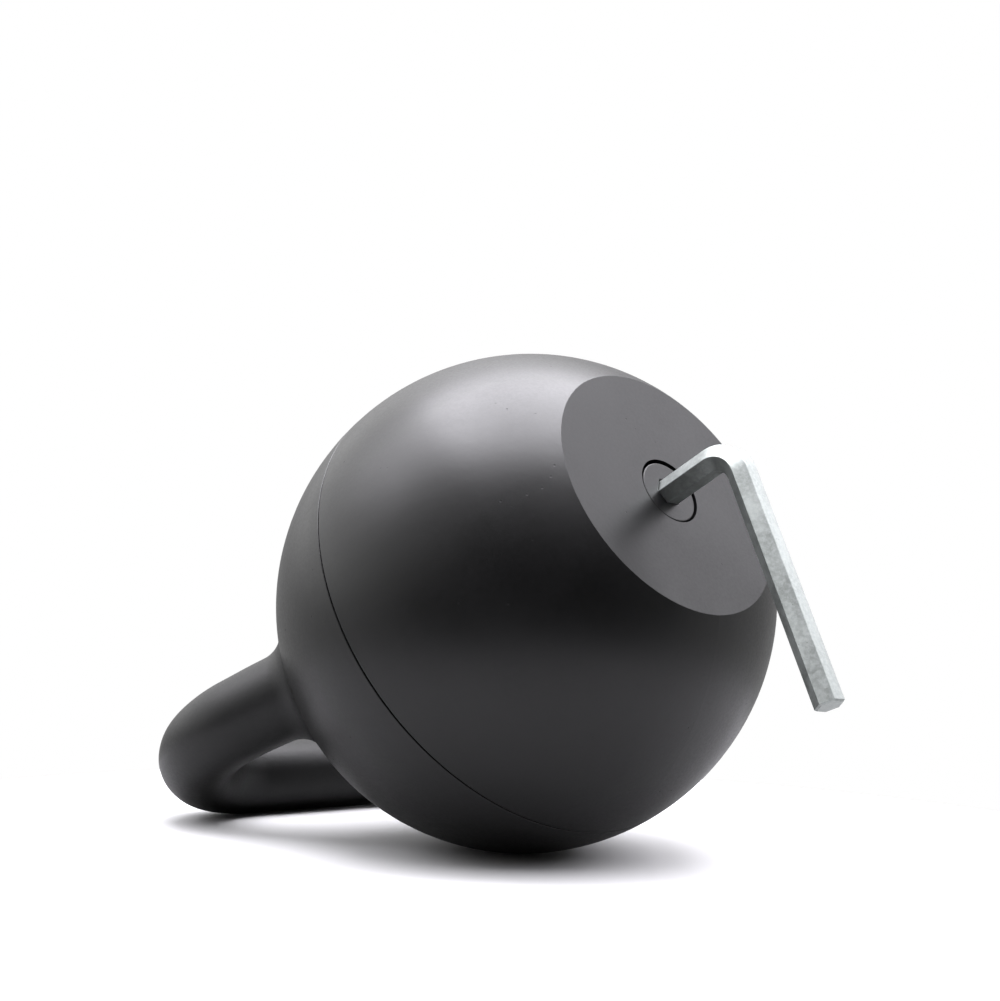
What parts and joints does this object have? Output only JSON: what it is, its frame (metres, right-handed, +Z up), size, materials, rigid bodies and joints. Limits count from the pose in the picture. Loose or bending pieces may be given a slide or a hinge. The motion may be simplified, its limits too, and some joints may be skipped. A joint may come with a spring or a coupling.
{
  "type": "kettlebell",
  "caption": "Adjustable competition-style kettlebell on its side: two bolted half shells round a stack of weight plates, bent-bar handle, hex key in the base bolt.",
  "frame": {"origin": "on the floor under the middle of the bounding box, with the kettlebell lying on its side on its ball and its grip", "axes": "+Z up from the floor; +X from the grip towards the flat base; Y along the grip. The bell's own axis rises from the grip to the base at 29.72 degrees to the floor, in the XZ plane"},
  "size_m": [0.341, 0.21, 0.2115],
  "materials": {
    "shell_paint": "satin black paint with a fine orange peel",
    "handle_paint": "satin black paint, slightly rubbed at the grip",
    "bolt_black": "satin black coated steel",
    "key_zinc": "mottled zinc plating",
    "zinc_steel": "bright zinc plating",
    "post_steel": "turned steel",
    "plate_iron": "black oxide on turned iron",
    "rubber": "matt moulded rubber"
  },
  "bodies": {
    "upper_half": {"upper_shell": "shell_paint", "handle": "handle_paint", "center_post": "post_steel", "post_weld": "post_steel", "thread_insert": "zinc_steel", "seam_gasket": "rubber", "locating_pins": "post_steel"},
    "upper_damper": {"upper_damper": "rubber"},
    "weight_plate_1": {"weight_plate_1": "plate_iron"},
    "weight_plate_2": {"weight_plate_2": "plate_iron"},
    "weight_plate_3": {"weight_plate_3": "plate_iron"},
    "weight_plate_4": {"weight_plate_4": "plate_iron"},
    "weight_plate_5": {"weight_plate_5": "plate_iron"},
    "weight_plate_6": {"weight_plate_6": "plate_iron"},
    "weight_plate_7": {"weight_plate_7": "plate_iron"},
    "lower_damper": {"lower_damper": "rubber"},
    "clamp_washer": {"clamp_washer": "zinc_steel"},
    "lock_nut": {"lock_nut": "zinc_steel"},
    "lower_half": {"lower_shell": "shell_paint"},
    "bolt_washer": {"bolt_washer": "zinc_steel"},
    "base_bolt": {"base_bolt": "bolt_black"},
    "hex_key": {"hex_key": "key_zinc"}
  },
  "joints": [
    {"name": "shell_opening", "type": "slide", "parent": "upper_half", "child": "lower_half", "axis": [0.8685, 0, 0.4958], "range_m": [0, 0.2]},
    {"name": "upper_damper_lift", "type": "slide", "parent": "upper_half", "child": "upper_damper", "axis": [0.8685, 0, 0.4958], "range_m": [0, 0.012]},
    {"name": "weight_plate_1_lift", "type": "slide", "parent": "upper_half", "child": "weight_plate_1", "axis": [0.8685, 0, 0.4958], "range_m": [0, 0.026]},
    {"name": "weight_plate_2_lift", "type": "slide", "parent": "upper_half", "child": "weight_plate_2", "axis": [0.8685, 0, 0.4958], "range_m": [0, 0.04]},
    {"name": "weight_plate_3_lift", "type": "slide", "parent": "upper_half", "child": "weight_plate_3", "axis": [0.8685, 0, 0.4958], "range_m": [0, 0.054]},
    {"name": "weight_plate_4_lift", "type": "slide", "parent": "upper_half", "child": "weight_plate_4", "axis": [0.8685, 0, 0.4958], "range_m": [0, 0.068]},
    {"name": "weight_plate_5_lift", "type": "slide", "parent": "upper_half", "child": "weight_plate_5", "axis": [0.8685, 0, 0.4958], "range_m": [0, 0.082]},
    {"name": "weight_plate_6_lift", "type": "slide", "parent": "upper_half", "child": "weight_plate_6", "axis": [0.8685, 0, 0.4958], "range_m": [0, 0.096]},
    {"name": "weight_plate_7_lift", "type": "slide", "parent": "upper_half", "child": "weight_plate_7", "axis": [0.8685, 0, 0.4958], "range_m": [0, 0.11]},
    {"name": "lower_damper_lift", "type": "slide", "parent": "upper_half", "child": "lower_damper", "axis": [0.8685, 0, 0.4958], "range_m": [0, 0.124]},
    {"name": "nut_travel", "type": "slide", "parent": "lower_damper", "child": "clamp_washer", "axis": [0.8685, 0, 0.4958], "range_m": [0, 0.00501]},
    {"name": "nut_turn", "type": "hinge", "parent": "clamp_washer", "child": "lock_nut", "pos_m": [0.05194, 0, 0.1345], "axis": [0.8685, 0, 0.4958], "range_deg": [0, 600]},
    {"name": "bolt_travel", "type": "slide", "parent": "lower_half", "child": "bolt_washer", "axis": [0.8685, 0, 0.4958], "range_m": [0, 0.02601]},
    {"name": "bolt_turn", "type": "hinge", "parent": "bolt_washer", "child": "base_bolt", "pos_m": [0.08147, 0, 0.15135], "axis": [0.8685, 0, 0.4958], "range_deg": [0, 4680]},
    {"name": "key_withdrawal", "type": "slide", "parent": "base_bolt", "child": "hex_key", "axis": [0.8685, 0, 0.4958], "range_m": [0, 0.03]}
  ],
  "couplings": [
    {"joint": "upper_damper_lift", "follows": "shell_opening", "ratio": 0.06},
    {"joint": "weight_plate_1_lift", "follows": "shell_opening", "ratio": 0.13},
    {"joint": "weight_plate_2_lift", "follows": "shell_opening", "ratio": 0.2},
    {"joint": "weight_plate_3_lift", "follows": "shell_opening", "ratio": 0.27},
    {"joint": "weight_plate_4_lift", "follows": "shell_opening", "ratio": 0.34},
    {"joint": "weight_plate_5_lift", "follows": "shell_opening", "ratio": 0.41},
    {"joint": "weight_plate_6_lift", "follows": "shell_opening", "ratio": 0.48},
    {"joint": "weight_plate_7_lift", "follows": "shell_opening", "ratio": 0.55},
    {"joint": "lower_damper_lift", "follows": "shell_opening", "ratio": 0.62},
    {"joint": "nut_travel", "follows": "nut_turn", "m_per_rad": 0.00047746},
    {"joint": "bolt_travel", "follows": "bolt_turn", "m_per_rad": 0.00031831}
  ]
}
